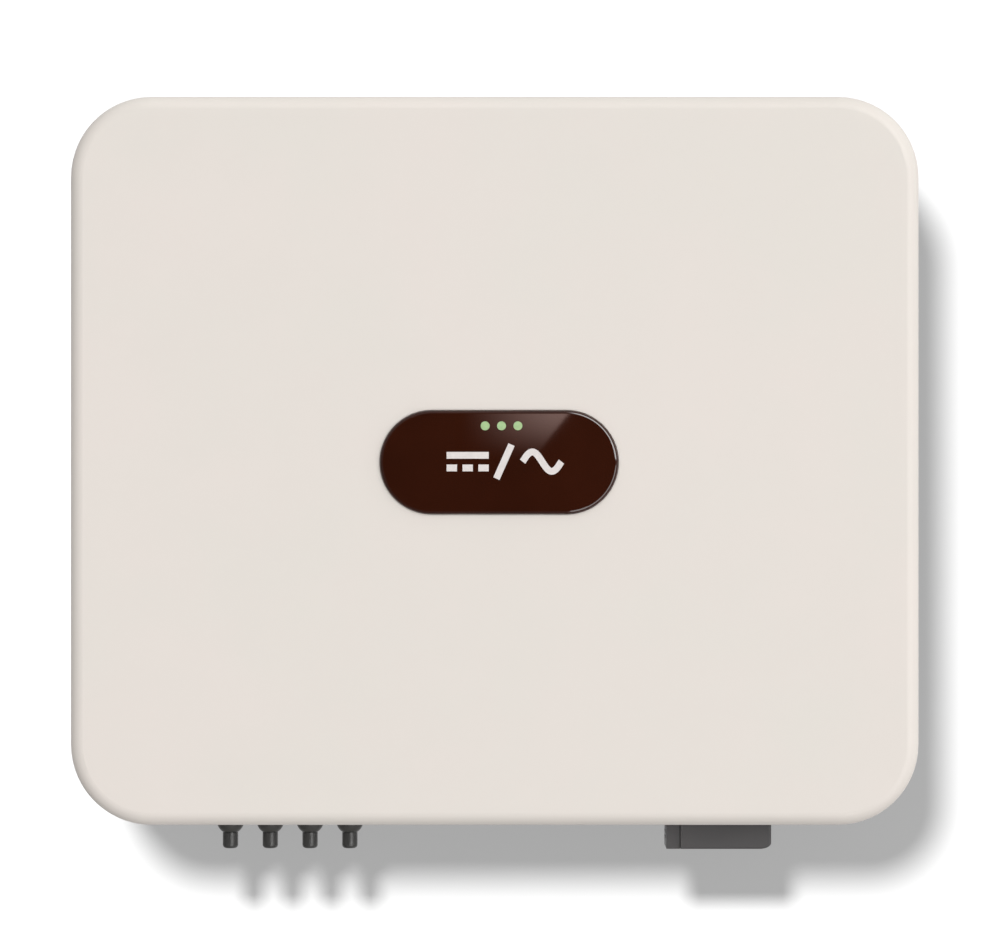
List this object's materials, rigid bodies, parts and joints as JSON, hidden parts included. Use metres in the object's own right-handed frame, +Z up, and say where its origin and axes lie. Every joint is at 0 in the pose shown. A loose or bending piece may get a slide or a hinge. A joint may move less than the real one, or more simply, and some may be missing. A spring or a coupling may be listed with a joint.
{
  "type": "string inverter",
  "caption": "Wall-hung solar string inverter: rounded pale cover, pill-shaped status plate, finned heat sink, hook-on wall bracket and sealed terminals below.",
  "frame": {"origin": "on the wall, at the middle of the wall bracket's four bolt holes", "axes": "+X to the right and +Z up for a person who faces the cover, +Y into the wall"},
  "size_m": [0.525, 0.1465, 0.4697],
  "materials": {
    "cover_cream": "satin",
    "plate_brown": "gloss",
    "emblem_grey": "satin",
    "light_green": "satin",
    "clear_pipe": "gloss",
    "cast_grey": "matte",
    "sink_aluminium": "satin",
    "bracket_steel": "satin",
    "plated_steel": "satin",
    "seal_rubber": "matte",
    "terminal_black": "matte",
    "cap_grey": "matte",
    "block_grey": "matte",
    "contact_metal": "polished",
    "knob_black": "satin",
    "switch_grey": "satin",
    "board_green": "satin",
    "module_black": "matte",
    "winding_block": "matte",
    "capacitor_sleeve": "gloss",
    "relay_blue": "satin",
    "film_yellow": "satin",
    "choke_green": "satin",
    "lead_red": "satin",
    "lead_brown": "satin"
  },
  "bodies": {
    "wall_bracket": {"wall_bracket": "bracket_steel"},
    "inverter": {"front_cover": "cover_cream", "display_plate": "plate_brown", "emblem": "emblem_grey", "status_lights": "light_green", "light_pipes": "clear_pipe", "enclosure": "cast_grey", "inner_lid": "cast_grey", "heat_sink": "sink_aluminium", "hanger_rail": "bracket_steel", "lower_rail": "bracket_steel", "cover_screws": "plated_steel", "lid_screws": "plated_steel", "heat_sink_screws": "plated_steel", "rail_screws": "plated_steel", "lock_screws": "plated_steel", "ac_port_screws": "plated_steel", "ground_screw": "plated_steel", "board_screws": "plated_steel", "board_spacers": "plated_steel", "ac_latch_pin": "plated_steel", "lid_gasket": "seal_rubber", "heat_sink_seal": "seal_rubber", "wall_bumpers": "seal_rubber", "pv_socket_seals": "seal_rubber", "ac_port_seal": "seal_rubber", "pv1_positive_socket": "terminal_black", "pv1_negative_socket": "terminal_black", "pv2_positive_socket": "terminal_black", "pv2_negative_socket": "terminal_black", "pv_socket_nuts": "terminal_black", "com_port": "terminal_black", "dongle_port": "terminal_black", "ac_port": "terminal_black", "vent_valve": "terminal_black", "terminal_contacts": "contact_metal", "dc_switch_plate": "switch_grey", "dc_switch_body": "switch_grey", "power_board": "board_green", "control_board": "board_green", "light_board": "board_green", "power_modules": "module_black", "boost_inductors": "winding_block", "filter_inductors": "winding_block", "bus_capacitors": "capacitor_sleeve", "grid_relays": "relay_blue", "film_capacitors": "film_yellow", "interference_chokes": "choke_green", "dc_leads": "lead_red", "ac_leads": "lead_brown"},
    "dc_switch": {"dc_switch_knob": "knob_black", "dc_switch_shaft": "plated_steel"},
    "ac_cap": {"ac_cap": "block_grey"},
    "ac_latch": {"ac_latch": "block_grey"},
    "com_cap": {"com_cap": "cap_grey"},
    "dongle_cap": {"dongle_cap": "cap_grey"},
    "pv1_positive_cap": {"pv1_positive_cap": "cap_grey"},
    "pv1_negative_cap": {"pv1_negative_cap": "cap_grey"},
    "pv2_positive_cap": {"pv2_positive_cap": "cap_grey"},
    "pv2_negative_cap": {"pv2_negative_cap": "cap_grey"}
  },
  "joints": [
    {"name": "lift_off", "type": "slide", "parent": "wall_bracket", "child": "inverter", "axis": [0, 0, 1], "range_m": [0, 0.025]},
    {"name": "dc_switch_turn", "type": "hinge", "parent": "inverter", "child": "dc_switch", "pos_m": [-0.04, -0.08, -0.315], "axis": [0, 0, 1], "range_deg": [0, 90]},
    {"name": "pv1_positive_cap_pull", "type": "slide", "parent": "inverter", "child": "pv1_positive_cap", "axis": [0, 0, -1], "range_m": [0, 0.02]},
    {"name": "pv1_negative_cap_pull", "type": "slide", "parent": "inverter", "child": "pv1_negative_cap", "axis": [0, 0, -1], "range_m": [0, 0.02]},
    {"name": "pv2_positive_cap_pull", "type": "slide", "parent": "inverter", "child": "pv2_positive_cap", "axis": [0, 0, -1], "range_m": [0, 0.02]},
    {"name": "pv2_negative_cap_pull", "type": "slide", "parent": "inverter", "child": "pv2_negative_cap", "axis": [0, 0, -1], "range_m": [0, 0.02]},
    {"name": "com_cap_pull", "type": "slide", "parent": "inverter", "child": "com_cap", "axis": [0, 0, -1], "range_m": [0, 0.02]},
    {"name": "dongle_cap_pull", "type": "slide", "parent": "inverter", "child": "dongle_cap", "axis": [0, 0, -1], "range_m": [0, 0.02]},
    {"name": "ac_cap_pull", "type": "slide", "parent": "inverter", "child": "ac_cap", "axis": [0, 0, -1], "range_m": [0, 0.03]},
    {"name": "ac_latch_swing", "type": "hinge", "parent": "inverter", "child": "ac_latch", "pos_m": [0.1119, -0.08, -0.3236], "axis": [0, 1, 0], "range_deg": [0, 12]}
  ]
}
